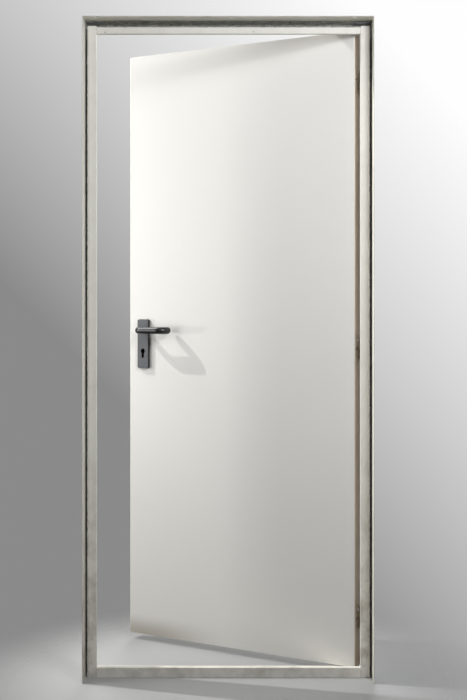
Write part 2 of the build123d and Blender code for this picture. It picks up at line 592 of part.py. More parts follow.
# The latch has a sloped nose towards the stop and a hooked tail over the follower's arm
with BuildPart() as latch_bolt:
    with BuildSketch(Plane.XY.offset(LATCH_Z - LATCH_HALF)):
        with BuildLine():
            Polyline((-X_LEAF + 20, LATCH_Y[0]), (-X_LEAF - 0.5, LATCH_Y[0]),
                     (-X_LEAF - LATCH_OUT, LATCH_Y[1] - 2.5), (-X_LEAF - LATCH_OUT, LATCH_Y[1]),
                     (-X_LEAF + 20, LATCH_Y[1]), close=True)
        make_face()
    extrude(amount=2 * LATCH_HALF)
    tail_z = SPINDLE_Z + FOLLOWER_ARM + 3.5
    block((-X_LEAF + 15, SPINDLE_X + 11), (Y_MID - 3, Y_MID + 3), (tail_z, tail_z + 4))
    block((SPINDLE_X + 7, SPINDLE_X + 11), (Y_MID - 3, Y_MID + 3), (tail_z - 10, tail_z + 4))
swung(latch_bolt)
finish(latch_bolt, "latch_bolt")

with BuildPart() as dead_bolt:
    block((-X_LEAF + 0.3, -X_LEAF + 40), LATCH_Y, (BOLT_Z - BOLT_HALF, BOLT_Z + BOLT_HALF))
    fillet(dead_bolt.faces().sort_by(Axis.X)[0].edges(), radius=0.8)
    block((-X_LEAF + 28, -X_LEAF + 41), (Y_MID - 3, Y_MID + 3), (BOLT_Z - 24, BOLT_Z - 12))
    block((-X_LEAF + 33, -X_LEAF + 36), (Y_MID - 7, Y_MID + 7), (BOLT_Z - 25, BOLT_Z - 19), Mode.SUBTRACT)
swung(dead_bolt)
finish(dead_bolt, "dead_bolt")


def backplate(y_leaf, out, bolt_mode):
    """A rounded cover plate on one side of the leaf; out is -1 on the push side and 1 on the pull side."""
    y_face = y_leaf + out * PLATE_T
    plane = Plane(origin=(SPINDLE_X, y_leaf, PLATE_Z), x_dir=(1, 0, 0), z_dir=(0, out, 0))
    with BuildSketch(plane) as outline:
        RectangleRounded(PLATE_W, PLATE_H, 7.0)
    extrude(outline.sketch, amount=PLATE_T)
    outer = faces().sort_by(Axis.Y)[-1 if out > 0 else 0]
    fillet(outer.edges(), radius=1.8)
    with BuildSketch(plane) as hollow:
        RectangleRounded(PLATE_W - 5, PLATE_H - 5, 4.5)
    extrude(hollow.sketch, amount=PLATE_T - 3.0, mode=Mode.SUBTRACT)
    low, high = sorted((y_leaf, y_face - out * 1.0))
    disc_y(SPINDLE_X, (low, high), SPINDLE_Z, JOURNAL_R + 4.0)
    for z in PLATE_BOLT_Z:
        disc_y(SPINDLE_X, (low, high), z, 6.3)
    with BuildSketch(plane) as boss:
        with Locations((0, CYLINDER_Z - 8 - PLATE_Z)):
            RectangleRounded(24, 42, 8.0)
    extrude(boss.sketch, amount=PLATE_T - 1.0)
    reach = (min(y_leaf, y_face) - 1, max(y_leaf, y_face) + 1)
    disc_y(SPINDLE_X, reach, SPINDLE_Z, JOURNAL_R + RUN, Mode.SUBTRACT)
    euro_hole(reach)
    if bolt_mode == "blind":
        for z in PLATE_BOLT_Z:
            disc_y(SPINDLE_X, sorted((y_leaf - out, y_face - out * 3.0)), z, 2.6, Mode.SUBTRACT)
    else:
        for z in PLATE_BOLT_Z:
            countersink((SPINDLE_X, y_face, z), (0, out, 0), 4.8, 2.4, 2.5, 12.0)


with BuildPart() as front_backplate:
    backplate(LEAF_Y, -1, "blind")
swung(front_backplate)
finish(front_backplate, "front_backplate")

with BuildPart() as rear_backplate:
    backplate(LEAF_BACK, 1, "through")
swung(rear_backplate)
finish(rear_backplate, "rear_backplate")

with BuildPart() as backplate_bolts:
    for z in PLATE_BOLT_Z:
        screw((SPINDLE_X, LEAF_BACK + PLATE_T, z), (0, 1, 0), 4.8, 2.4, 2.5, LEAF_T + 2 * PLATE_T - 4.0)
swung(backplate_bolts)
finish(backplate_bolts, "backplate_bolts")

with BuildPart() as leaf_hinge_screws:
    for zc in HINGE_Z:
        for dz in (-HINGE_SCREW_DZ, HINGE_SCREW_DZ):
            screw((X_LEAF, SCREW_Y, zc + dz), (1, 0, 0), *LEAF_SCREW)
swung(leaf_hinge_screws)
finish(leaf_hinge_screws, "leaf_hinge_screws")


def lever(y_leaf, out):
    """A returned lever: neck, tight bend, grip and a wide bend back towards the leaf."""
    y_grip = y_leaf + out * LEVER_OUT
    x_end = SPINDLE_X + LEVER_LENGTH
    y_neck = y_leaf + out * (PLATE_T + 0.3)
    y_tip = y_leaf + out * 21.0
    with BuildLine() as path:
        FilletPolyline((SPINDLE_X, y_neck, SPINDLE_Z), (SPINDLE_X, y_grip, SPINDLE_Z),
                       (x_end, y_grip, SPINDLE_Z), (x_end, y_tip, SPINDLE_Z), radius=(15.0, 23.0))
    with BuildSketch(Plane(origin=(SPINDLE_X, y_neck, SPINDLE_Z), z_dir=(0, out, 0))) as round_bar:
        Circle(LEVER_R)
    sweep(round_bar.sketch, path=path.line)
    with BuildSketch(Plane(origin=(x_end, y_tip, SPINDLE_Z), x_dir=(1, 0, 0), z_dir=(0, 0, 1))) as dome:
        Circle(LEVER_R)
        with Locations((-LEVER_R, 0)):
            Rectangle(2 * LEVER_R, 4 * LEVER_R, mode=Mode.SUBTRACT)
    revolve(dome.sketch, axis=Axis((x_end, y_tip, SPINDLE_Z), (0, 1, 0)))
    disc_y(SPINDLE_X, sorted((y_leaf + out * 0.3, y_neck)), SPINDLE_Z, JOURNAL_R)
    y = sorted((y_leaf, y_leaf + out * 31.0))
    block((SPINDLE_X - 4.05, SPINDLE_X + 4.05), y, (SPINDLE_Z - 4.05, SPINDLE_Z + 4.05), Mode.SUBTRACT)


with BuildPart() as front_lever:
    lever(LEAF_Y, -1)
swung(front_lever)
finish(front_lever, "front_lever")

with BuildPart() as rear_lever:
    lever(LEAF_BACK, 1)
swung(rear_lever)
finish(rear_lever, "rear_lever")

with BuildPart() as spindle:
    block((SPINDLE_X - 4, SPINDLE_X + 4), (LEAF_Y - 30.8, LEAF_BACK + 30.8), (SPINDLE_Z - 4, SPINDLE_Z + 4))
    chamfer(spindle.edges().filter_by(Axis.Y), length=0.5)
swung(spindle)
finish(spindle, "spindle")
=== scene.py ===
# %% [markdown]
# # A steel door in its folded frame
# The measured model gives every solid its place: the folded frame, the hollow leaf, hinges, lock and
# plates. This lesson dresses that model. It keeps the sheet metal as it was measured and gives it real
# finishes, and it builds again the pieces that a hand and an eye come close to: the levers, the seal and
# the screws. All places are read from the frame, so a piece is never fitted by eye.

import json
import math

import bmesh
import bpy
from mathutils import Matrix, Vector


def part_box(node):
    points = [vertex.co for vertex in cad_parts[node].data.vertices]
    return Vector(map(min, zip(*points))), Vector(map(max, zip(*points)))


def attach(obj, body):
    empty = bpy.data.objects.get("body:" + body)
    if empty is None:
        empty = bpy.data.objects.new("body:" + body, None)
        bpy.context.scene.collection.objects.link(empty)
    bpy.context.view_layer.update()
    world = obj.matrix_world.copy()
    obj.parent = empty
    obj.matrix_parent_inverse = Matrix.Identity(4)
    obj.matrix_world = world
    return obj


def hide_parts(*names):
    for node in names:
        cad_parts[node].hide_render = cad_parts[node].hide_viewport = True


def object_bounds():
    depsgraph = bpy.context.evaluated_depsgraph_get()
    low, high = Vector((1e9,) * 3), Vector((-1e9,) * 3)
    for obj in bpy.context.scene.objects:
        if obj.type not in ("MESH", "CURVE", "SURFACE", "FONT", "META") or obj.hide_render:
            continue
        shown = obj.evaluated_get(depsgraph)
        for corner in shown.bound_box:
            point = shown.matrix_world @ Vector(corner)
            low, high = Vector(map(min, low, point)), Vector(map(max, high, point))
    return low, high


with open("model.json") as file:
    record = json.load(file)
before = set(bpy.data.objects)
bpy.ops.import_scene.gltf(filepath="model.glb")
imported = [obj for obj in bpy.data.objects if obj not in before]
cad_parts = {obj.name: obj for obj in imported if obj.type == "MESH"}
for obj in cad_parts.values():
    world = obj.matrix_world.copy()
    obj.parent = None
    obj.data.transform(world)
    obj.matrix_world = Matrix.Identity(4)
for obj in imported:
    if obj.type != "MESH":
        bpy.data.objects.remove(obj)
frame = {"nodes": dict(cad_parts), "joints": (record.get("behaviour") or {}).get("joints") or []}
cad_low, cad_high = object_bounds()
MM = 0.001
print("nodes:", len(frame["nodes"]), "size in mm:", [round(v / MM) for v in cad_high - cad_low])

# %% [markdown]
# ## The leaf is easier to build shut
# The leaf stands ajar, so nothing on it lies along X or Y. The door hinge's own record says where its pin
# stands and how far the leaf is from shut. One matrix made from that swings a finished piece from shut to
# ajar, and its inverse reads the measured boxes back as if the leaf were shut.

# %% Swing between shut and ajar
joints = {joint["name"]: joint for joint in frame["joints"]}
pin = Vector(joints["leaf_hinge"]["pos_m"])
AJAR = math.radians(-joints["leaf_hinge"]["range_deg"][0])
swing = Matrix.Translation(pin) @ Matrix.Rotation(-AJAR, 4, "Z") @ Matrix.Translation(-pin)
shut = swing.inverted()


def shut_box(node):
    """Lowest and highest corner of a leaf node, as if the leaf were shut."""
    corners = [shut @ v.co for v in frame["nodes"][node].data.vertices]
    return (Vector(map(min, zip(*corners))), Vector(map(max, zip(*corners))))


skin_low = shut_box("front_skin")[0]
LEAF_FRONT, LEAF_BACK = skin_low.y, shut_box("back_skin")[1].y
spindle_at = shut @ Vector(joints["handle_turn"]["pos_m"])
print("leaf ajar by", round(math.degrees(AJAR), 1), "degrees, thickness in mm",
      round((LEAF_BACK - LEAF_FRONT) / MM, 1))

# %% [markdown]
# ## Camera
# The picture was taken from a little over four of the leaf's widths away, somewhat higher than the lever
# and slightly right of the middle. The camera stays level so that the jambs stay upright, and the lens
# shift moves the picture instead, as a view camera's rise does. The numbers come from fitting the door's
# known edges to the picture.

# %% Level camera with a lens shift
CAMERA_AT = (0.0637, -3.6647, 1.1736)
LENS, SENSOR, FAR = 60.3, 36.0, 60.0
SHIFT = (-0.0220, -0.0683)

camera = bpy.data.objects.new("camera", bpy.data.cameras.new("camera"))
bpy.context.scene.collection.objects.link(camera)
camera.location = CAMERA_AT
camera.rotation_euler = (math.pi / 2, 0, 0)
camera.data.lens = LENS
camera.data.sensor_width = SENSOR
camera.data.shift_x, camera.data.shift_y = SHIFT
camera.data.clip_end = FAR
bpy.context.scene.camera = camera
bpy.context.scene.view_settings.view_transform = "Standard"
print("camera at", CAMERA_AT, "lens", LENS)

# %% [markdown]
# ## Small helpers for every finish
# Paint colours are picked as hex values from a chart, but a shader mixes light, so one function turns
# them to linear light. A second one adds a node, sets it up and links it. The short ones after it stand
# for the nodes that come back most, so that a material reads from top to bottom like a recipe.


# %% Colour and node helpers
def light_of(hex_colour):
    """Linear light, with full opacity, of an sRGB hex colour."""
    parts = [int(hex_colour[i:i + 2], 16) / 255 for i in (1, 3, 5)]
    return (*[c / 12.92 if c <= 0.04045 else ((c + 0.055) / 1.055) ** 2.4 for c in parts], 1.0)


def add(tree, kind, inputs=None, **settings):
    """Adds one node; inputs maps a socket's name or number to a value or to another node's output."""
    made = tree.nodes.new(kind)
    for name, value in settings.items():
        setattr(made, name, value)
    for socket, value in (inputs or {}).items():
        if isinstance(value, bpy.types.NodeSocket):
            tree.links.new(value, made.inputs[socket])
        else:
            made.inputs[socket].default_value = value
    return made


def finish_named(name):
    """An empty material with its output, its shader and the object's own coordinates."""
    material = bpy.data.materials.new(name)
    material.use_nodes = True
    tree = material.node_tree
    tree.nodes.clear()
    shader = add(tree, "ShaderNodeBsdfPrincipled")
    add(tree, "ShaderNodeOutputMaterial", {"Surface": shader.outputs["BSDF"]})
    place = add(tree, "ShaderNodeTexCoord").outputs["Object"]
    return material, tree, shader, place


print("mid grey #808080 is", round(light_of("#808080")[0], 3), "in linear light")


# %% Short forms of the nodes that come back most
def maths(tree, operation, *values):
    """The result of one calculation on numbers."""
    return add(tree, "ShaderNodeMath", dict(enumerate(values)), operation=operation).outputs["Value"]


def dot(tree, first, second):
    """How far one vector goes the way of another."""
    made = add(tree, "ShaderNodeVectorMath", {0: first, 1: second}, operation="DOT_PRODUCT")
    return made.outputs["Value"]


def stretch(tree, value, low, high, to_low=0.0, to_high=1.0, **settings):
    """A value between low and high, stretched to lie between two others and cut off there."""
    made = add(tree, "ShaderNodeMapRange", {"Value": value, "From Min": low, "From Max": high,
                                            "To Min": to_low, "To Max": to_high}, **settings)
    return made.outputs["Result"]


def blend(tree, share, first, second, way="MIX"):
    """Two colours, as hex or from a node, mixed or multiplied; share is that of the second."""
    first, second = (light_of(c) if isinstance(c, str) else c for c in (first, second))
    made = add(tree, "ShaderNodeMix", {0: share, 6: first, 7: second}, data_type="RGBA", blend_type=way)
    return made.outputs[2]


def cloudy(tree, place, scale, detail, roughness=0.5):
    """Noise from 0 to 1, with scale clouds to the metre."""
    made = add(tree, "ShaderNodeTexNoise", {"Vector": place, "Scale": scale, "Detail": detail,
                                            "Roughness": roughness})
    return made.outputs["Fac"]


def dress(tree, shader, colour, roughness, height, strength, depth):
    """Gives a shader its colour, its roughness and a fine relief of a strength and a depth."""
    relief = add(tree, "ShaderNodeBump", {"Height": height, "Strength": strength, "Distance": depth})
    tree.links.new(colour, shader.inputs["Base Color"])
    tree.links.new(roughness, shader.inputs["Roughness"])
    tree.links.new(relief.outputs["Normal"], shader.inputs["Normal"])


# %% [markdown]
# ## Studio
# The floor is pale and fades out a stride away from the door, where it meets a plain backdrop. The
# backdrop is the world's colour, shown to the camera and to gloss only, so it can be bright or dim
# without changing the light on the door. It runs from mid grey at the lower left to white at the upper
# right, which keeps a white leaf readable against it.

# %% Rays that see the studio
def seen_by_eye(tree):
    """1 for the camera's rays and for those that gloss and glass pass on, else 0."""
    ray = add(tree, "ShaderNodeLightPath").outputs
    passed_on = maths(tree, "MAXIMUM", ray["Is Glossy Ray"], ray["Is Transmission Ray"])
    return maths(tree, "MAXIMUM", ray["Is Camera Ray"], passed_on)


# %% An object from an edited mesh
def object_of(name, mesh, material):
    """An object in the scene from an edited mesh, in one material."""
    data = bpy.data.meshes.new(name)
    mesh.to_mesh(data)
    mesh.free()
    data.materials.append(material)
    made = bpy.data.objects.new(name, data)
    bpy.context.scene.collection.objects.link(made)
    return made


# %% Pale floor that fades into the backdrop
FLOOR_R, FLOOR_DROP = 6.0, 0.5 * MM
FLOOR_SOLID, FLOOR_GONE = 0.35, 0.95
FLOOR_SEEN, FLOOR_BOUNCE = "#A8A8A6", "#262625"

painted_floor, tree, shader, place = finish_named("painted_studio_floor")
shader.inputs["Roughness"].default_value = 0.6
tree.links.new(blend(tree, seen_by_eye(tree), FLOOR_BOUNCE, FLOOR_SEEN), shader.inputs["Base Color"])
away = add(tree, "ShaderNodeVectorMath", {0: place}, operation="LENGTH").outputs["Value"]
fade = stretch(tree, away, FLOOR_SOLID, FLOOR_GONE, interpolation_type="SMOOTHSTEP")
tree.links.new(maths(tree, "SUBTRACT", 1.0, fade), shader.inputs["Alpha"])

disc = bmesh.new()
bmesh.ops.create_circle(disc, cap_ends=True, segments=96, radius=FLOOR_R)
floor = object_of("floor", disc, painted_floor)
floor.location.z = cad_low.z - FLOOR_DROP
print("floor solid to", FLOOR_SOLID, "m and gone at", FLOOR_GONE, "m")

# %% Backdrop for the eye, even light for the door
AMBIENT = 0.05
BACKDROP_LOW, BACKDROP_HIGH = "#8A8A8A", "#FEFEFE"
BACKDROP_WAY = (1.0, 0.0, 0.97)
BACKDROP_FROM, BACKDROP_TO = -0.19, 0.33

world = bpy.data.worlds.new("studio")
bpy.context.scene.world = world
world.use_nodes = True
tree = world.node_tree
tree.nodes.clear()
direction = add(tree, "ShaderNodeTexCoord").outputs["Generated"]
level = stretch(tree, dot(tree, direction, BACKDROP_WAY), BACKDROP_FROM, BACKDROP_TO)
sweep = blend(tree, level, BACKDROP_LOW, BACKDROP_HIGH)
backdrop = add(tree, "ShaderNodeBackground", {"Color": sweep, "Strength": 1.0})
ambient = add(tree, "ShaderNodeBackground", {"Color": (1, 1, 1, 1), "Strength": AMBIENT})
both = add(tree, "ShaderNodeMixShader", {0: seen_by_eye(tree), 1: ambient.outputs["Background"],
                                         2: backdrop.outputs["Background"]})
add(tree, "ShaderNodeOutputWorld", {"Surface": both.outputs["Shader"]})
print("ambient light", AMBIENT)

# %% [markdown]
# ## Lamps
# A small lamp high on the left, just behind the door's plane, rakes along the leaf and throws the lever's
# crisp shadow down to the right. A weaker one at the lever's height draws a second, fainter shadow
# straight across, and a soft strip over the lever lies in its gloss as one long highlight. Two soft boxes
# do the rest: one at the left brightens the leaf's free side, and one high at the front right lights the
# frame, brightest at the top, and leaves the right jamb's outer side in the shade of its leg. A small
# hard lamp beside it gives the head its shadow, and a soft box behind the door shows its back.


# %% Soft and raking lamps
SPOT = (0.03, 0.03)     # small enough for a crisp shadow


def lamp(name, at, aim, size, watts, tint="#FFFFFF"):
    """An area lamp, (width, height) in metres, that lights the door and isn't itself seen."""
    made = bpy.data.objects.new(name, bpy.data.lights.new(name, "AREA"))
    made.data.shape = "RECTANGLE"
    made.data.size, made.data.size_y = size
    made.data.energy = watts
    made.data.color = light_of(tint)[:3]
    made.location = at
    made.rotation_euler = (Vector(aim) - Vector(at)).to_track_quat("-Z", "Y").to_euler()
    made.visible_camera = False
    bpy.context.scene.collection.objects.link(made)
    return made


lever_at = Vector(joints["handle_turn"]["pos_m"])
lamp("raking_lamp", lever_at + 3.2 * Vector((-0.743, 0.064, 0.666)), lever_at, SPOT, 78)
lamp("low_lamp", lever_at + 2.8 * Vector((-0.995, 0.10, -0.035)), lever_at, SPOT, 20)
lamp("lever_strip", lever_at + 2.0 * Vector((-0.53, 0.12, 0.84)), lever_at, (0.6, 0.6), 14)
lamp("left_softbox", (-1.57, -0.06, 1.17), (-0.1, 0.2, 1.0), (0.7, 1.3), 11.5)
lamp("front_softbox", (0.95, -1.95, 2.28), (0.0, 0.1, 1.42), (1.1, 1.1), 33, "#F2F5FE")
key_spot = lamp("key_spot", (1.17, -2.1, 2.48), (0.0, 0.1, 1.5), (0.16, 0.16), 12)
key_spot.visible_glossy = False     # gloss would show it as a hard bright dot
lamp("back_softbox", (0.3, 3.3, 2.0), (0.0, 0.3, 1.0), (1.6, 1.6), 40)

# %% [markdown]
# ## Painted shade and wear
# Two things can be read from the shape itself. Painted shade darkens slots and inner corners, by how much
# of the open air a point sees, and outer edges are rubbed thin, by how far a rounded-off normal leans away
# from the real one. Each finish uses them in its own strength.


# %% Reading corners and edges from the shape
CHIP = 12 * MM      # width of the patches in which an edge is rubbed


def open_air(tree, reach):
    """Share of the open air that a point sees within reach, from 0 deep in a slot to 1."""
    return add(tree, "ShaderNodeAmbientOcclusion", {"Distance": reach}, samples=4,
               only_local=True).outputs["AO"]


def edge_lean(tree, radius):
    """1 on a flat face, and less towards an edge, where a rounded-off normal leans away."""
    soft = add(tree, "ShaderNodeBevel", {"Radius": radius}, samples=4).outputs["Normal"]
    return dot(tree, soft, add(tree, "ShaderNodeNewGeometry").outputs["Normal"])


def shaded_in_hollows(tree, colour, reach, low, high, darkest):
    """A colour with painted shade where a point sees little open air within reach."""
    hollow_shade = stretch(tree, open_air(tree, reach), low, high, darkest)
    return blend(tree, 1.0, colour, hollow_shade, "MULTIPLY")


def rubbed(tree, colour, place, bare):
    """A colour whose edges are rubbed to a bare one, in patches."""
    edge = stretch(tree, edge_lean(tree, 1.2 * MM), 0.99, 0.80)
    patch = stretch(tree, cloudy(tree, place, 1 / CHIP, 5.0, 0.7), 0.45, 0.62)
    return blend(tree, maths(tree, "MULTIPLY", edge, patch), colour, bare)


# %% [markdown]
# ## Paint on the leaf
# The leaf is galvanised sheet with a polyester powder coat, baked on. The powder flows into a skin with a
# very fine orange peel and a soft sheen. The peel is 1 to 2 mm wide, finer than the picture can show, so
# it is drawn a little coarser. A wide, faint variation stands for the slight waviness of thin sheet. The
# hinge edge is painted a warm brown as painted shade, warmed as by bounced light, and the foot of the free
# side is darker.

# %% Powder coat, with painted warm shade on the hinge edge
LEAF_WAY = swing.to_3x3() @ Vector((1, 0, 0))     # along the leaf towards its hinge

powder_coat, tree, shader, place = finish_named("powder_coated_sheet")
wide = cloudy(tree, place, 1.6, 2.0)
paint = blend(tree, wide, "#E4E2DB", "#EAE8E2")
normal = add(tree, "ShaderNodeTexCoord").outputs["Normal"]
# The hinge edge is painted a warm brown: painted shade, warmed as by light bounced onto it.
hinge_edge_shade = stretch(tree, dot(tree, normal, LEAF_WAY), 0.80, 0.97)
brown = blend(tree, cloudy(tree, place, 14.0, 4.0, 0.6), "#C4AF95", "#DDCCB5")
paint = blend(tree, hinge_edge_shade, paint, brown)
# Painted shade in hollows within 8 mm, then edges rubbed in patches.
paint = rubbed(tree, shaded_in_hollows(tree, paint, 8 * MM, 0.2, 0.75, 0.35), place, "#C9C8C4")
print("the leaf runs towards its hinge along", [round(v, 2) for v in LEAF_WAY])

# %% A darker band at the foot of the free side
FREE_EDGE = LEAF_WAY.dot(pin) + skin_low.x - pin.x      # where the free edge lies along the leaf
FOOT_BAND_NEAR, FOOT_BAND_FAR = 80 * MM, 420 * MM               # from the free edge: full, and gone
FOOT_BAND_HIGH, FOOT_BAND_MOST = 75 * MM, 0.75

along = dot(tree, place, LEAF_WAY)
free_side = stretch(tree, along, FREE_EDGE + FOOT_BAND_FAR, FREE_EDGE + FOOT_BAND_NEAR,
                    interpolation_type="SMOOTHSTEP")
height = add(tree, "ShaderNodeSeparateXYZ", {"Vector": place}).outputs["Z"]
foot = stretch(tree, height, skin_low.z + FOOT_BAND_HIGH, skin_low.z, 0.0, FOOT_BAND_MOST,
               interpolation_type="SMOOTHSTEP")
# Darker and browner towards the foot of the free side.
paint = blend(tree, maths(tree, "MULTIPLY", free_side, foot), paint, "#A39A8C")
print("free edge at", round(FREE_EDGE / MM), "mm along the leaf's way")

# %% Orange peel and sheen
PEEL, PEEL_DEPTH = 2.5 * MM, 0.05 * MM

sheen = stretch(tree, wide, 0.0, 1.0, 0.38, 0.50)
dress(tree, shader, paint, sheen, cloudy(tree, place, 1 / PEEL, 2.0), 0.25, PEEL_DEPTH)
print("leaf paint nodes:", len(tree.nodes))

# %% [markdown]
# ## Primer on the frame
# The frame is folded from galvanised sheet and dipped in a matt primer: a smooth light grey, a little
# warmer and darker than the leaf. It carries the marks of handling and of the site: brown splashes that
# thicken towards the floor and small dark specks, and painted shade darkens its slots. Inside the fold the
# primer didn't take, and the bare zinc shows its crystals through the slot of the head. The outer side goes
# against the masonry, where the zinc has weathered to a dull grey. The sill's primer is painted paler, as
# painted light that brightens the sill, and its splashes are fainter.

# %% Where the inside of the fold begins
CLEAR_X, CLEAR_Z = 412.5 * MM, 2012 * MM        # clear opening: half width and height
REBATE_X, REBATE_Z = 429.2 * MM, 2031.2 * MM    # rebate wall, behind the stop
STOP, FOLD_DEPTH, SHEET = 15 * MM, 62 * MM, 1.5 * MM
print("clear opening:", round(2 * CLEAR_X / MM), "mm wide, up to", round(CLEAR_Z / MM), "mm")


def inside_of_fold(tree, place):
    """1 on the sides of the folded sheet that look into the fold, else 0."""
    at = add(tree, "ShaderNodeSeparateXYZ", {"Vector": place}).outputs
    side = maths(tree, "ABSOLUTE", at["X"])
    behind = maths(tree, "GREATER_THAN", at["Y"], STOP + SHEET / 2)
    far = []
    for value, clear, rebate in ((side, CLEAR_X, REBATE_X), (at["Z"], CLEAR_Z, REBATE_Z)):
        wall = maths(tree, "MULTIPLY_ADD", behind, rebate - clear, clear + SHEET / 2)
        far.append(maths(tree, "GREATER_THAN", value, wall))
    mask = maths(tree, "MAXIMUM", *far)
    for value, limit, way in ((side, cad_high.x - SHEET / 2, "LESS_THAN"),
                              (at["Z"], cad_high.z - SHEET / 2, "LESS_THAN"),
                              (at["Y"], SHEET * 0.9, "GREATER_THAN"),
                              (at["Y"], FOLD_DEPTH - SHEET / 2, "LESS_THAN")):
        mask = maths(tree, "MULTIPLY", mask, maths(tree, way, value, limit))
    return mask


def against_the_wall(tree, place):
    """1 on the outermost side of the frame, which the masonry hides, else 0."""
    at = add(tree, "ShaderNodeSeparateXYZ", {"Vector": place}).outputs
    far = [maths(tree, "GREATER_THAN", value, limit - SHEET / 4)
           for value, limit in ((maths(tree, "ABSOLUTE", at["X"]), cad_high.x), (at["Z"], cad_high.z))]
    return maths(tree, "MAXIMUM", *far)


# %% Primer with its stains, and the zinc under it
SPECK_GAP = 70 * MM     # from one dark speck to the next
SPANGLE = 12 * MM       # width of one zinc crystal


def stained_and_shaded_primer(tree, place, height, paint, stained):
    """The coat's colour with brown splashes that thicken downwards, specks, painted shade in corners and
    rubbed edges.
    """
    low = stretch(tree, height, 0.0, 0.7, stained, stained * 0.15)
    drops = stretch(tree, cloudy(tree, place, 16.0, 5.0, 0.6), 0.42, 0.70)
    paint = blend(tree, maths(tree, "MULTIPLY", low, drops), paint, "#877660")
    dots = add(tree, "ShaderNodeTexVoronoi", {"Vector": place, "Scale": 1 / SPECK_GAP})
    speck = stretch(tree, dots.outputs["Distance"], 0.030, 0.018, 0.0, 0.8)
    # Specks, then painted shade in corners within 12 mm.
    paint = shaded_in_hollows(tree, blend(tree, speck, paint, "#4B4640"), 12 * MM, 0.15, 0.7, 0.12)
    return rubbed(tree, paint, place, "#F4F3EE")


def zinc_crystals(tree, place, hidden):
    """The bare zinc's colour, bright in the fold and dull where hidden is 1."""
    crystals = add(tree, "ShaderNodeTexVoronoi", {"Vector": place, "Scale": 1 / SPANGLE})
    grey = add(tree, "ShaderNodeSeparateColor", {"Color": crystals.outputs["Color"]}).outputs
    bright = blend(tree, grey["Red"], "#BDBDB5", "#F2F1EA")
    dull = blend(tree, grey["Green"], "#898A86", "#A9AAA5")
    return blend(tree, hidden, bright, dull)


# %% The frame's two primers
PATINA = 0.35           # how metallic the aged zinc still looks
GRAIN, GRAIN_DEPTH = 1.8 * MM, 0.06 * MM


def primed(name, dark, pale, stained):
    """Matt primer from a dark to a pale shade; stained is the strength of the brown splashes."""
    material, tree, shader, place = finish_named(name)
    height = add(tree, "ShaderNodeSeparateXYZ", {"Vector": place}).outputs["Z"]
    cloud = cloudy(tree, place, 5.0, 4.0, 0.55)
    hidden = against_the_wall(tree, place)
    bare = maths(tree, "MAXIMUM", inside_of_fold(tree, place), hidden)
    coat = stained_and_shaded_primer(tree, place, height, blend(tree, cloud, dark, pale), stained)
    shown = blend(tree, bare, coat, zinc_crystals(tree, place, hidden))
    darkest = stretch(tree, height, 1.6, 0.4, 0.0, 0.45)      # the painted shade in the slots is lighter lower down
    # Painted shade darkens the slots and inner corners within 25 mm.
    shown = shaded_in_hollows(tree, shown, 25 * MM, 0.02, 0.16, darkest)
    tree.links.new(maths(tree, "MULTIPLY", bare, PATINA), shader.inputs["Metallic"])
    dress(tree, shader, shown, stretch(tree, cloud, 0.0, 1.0, 0.44, 0.58),
          cloudy(tree, place, 1 / GRAIN, 3.0), 0.25, GRAIN_DEPTH)
    return material


primer = primed("primed_folded_sheet", "#E8E5D9", "#F0EDE3", 0.75)
# The sill's copy is painted paler than the jambs', as painted light, with fainter brown splashes.
sill_primer_painted_paler = primed("primed_sill_painted_paler", "#F1EDDF", "#F5F2E5", 0.35)
print("primer nodes:", len(primer.node_tree.nodes))

# %% [markdown]
# ## Metals
# Zinc from a hot bath freezes in flat crystals, the spangle, 5 to 15 mm wide, each with its own grey.
# Plated steel parts are turned or stamped, so they shine in fine lines along one way. The washers are
# brass, warm and a little dull.


# %% Galvanised, plated and brass finishes
def metal(name, dark, pale, roughness, size, streaks=(1.0, 1.0, 1.0)):
    """A metal whose grain has cells or streaks of one size, from a dark to a pale shade."""
    material, tree, shader, place = finish_named(name)
    shader.inputs["Metallic"].default_value = 1.0
    drawn = add(tree, "ShaderNodeMapping", {"Vector": place, "Scale": streaks}).outputs["Vector"]
    cells = add(tree, "ShaderNodeTexVoronoi", {"Vector": drawn, "Scale": 1 / size}).outputs
    grey = add(tree, "ShaderNodeSeparateColor", {"Color": cells["Color"]}).outputs
    rough = stretch(tree, grey["Green"], 0.0, 1.0, roughness - 0.06, roughness + 0.06)
    dress(tree, shader, blend(tree, grey["Red"], dark, pale), rough, cells["Distance"], 0.2, 0.05 * MM)
    return material


galvanised = metal("hot_dip_galvanised_sheet", "#8E9396", "#B9BDBE", 0.42, 9 * MM)
plated = metal("zinc_plated_steel", "#A9ABAA", "#C6C7C4", 0.27, 0.8 * MM, (1.0, 1.0, 0.15))
brass = metal("turned_brass", "#9C8148", "#B89A5C", 0.32, 0.6 * MM, (1.0, 1.0, 0.2))
print("metals:", galvanised.name, plated.name, brass.name)

# %% [markdown]
# ## Hinge paint, moulded nylon, rubber and paper
# The hinge flaps are stamped steel, painted over with the edge in the same beige brown, which is painted
# shade, and a dark rim of painted shade marks the seam round each flap. The plates and levers are
# glass-filled nylon: the plates' faces come from a spark-eroded mould and are a textured grey, while their
# sides are painted black as shade and the levers are polished black. The seal is extruded rubber, and the
# core is kraft paper painted a dark brown as shade inside the leaf.

# %% Hinge steel painted in shade
hinge_steel_in_shade, tree, shader, place = finish_named("hinge_steel_painted_shade")
blotch = cloudy(tree, place, 1 / (7 * MM), 4.0)
# The flaps' beige brown is the leaf's paint in shade, painted on, with more painted shade in hollows.
tint = shaded_in_hollows(tree, blend(tree, blotch, "#C6B7A2", "#E0D3C0"), 3 * MM, 0.1, 0.6, 0.15)
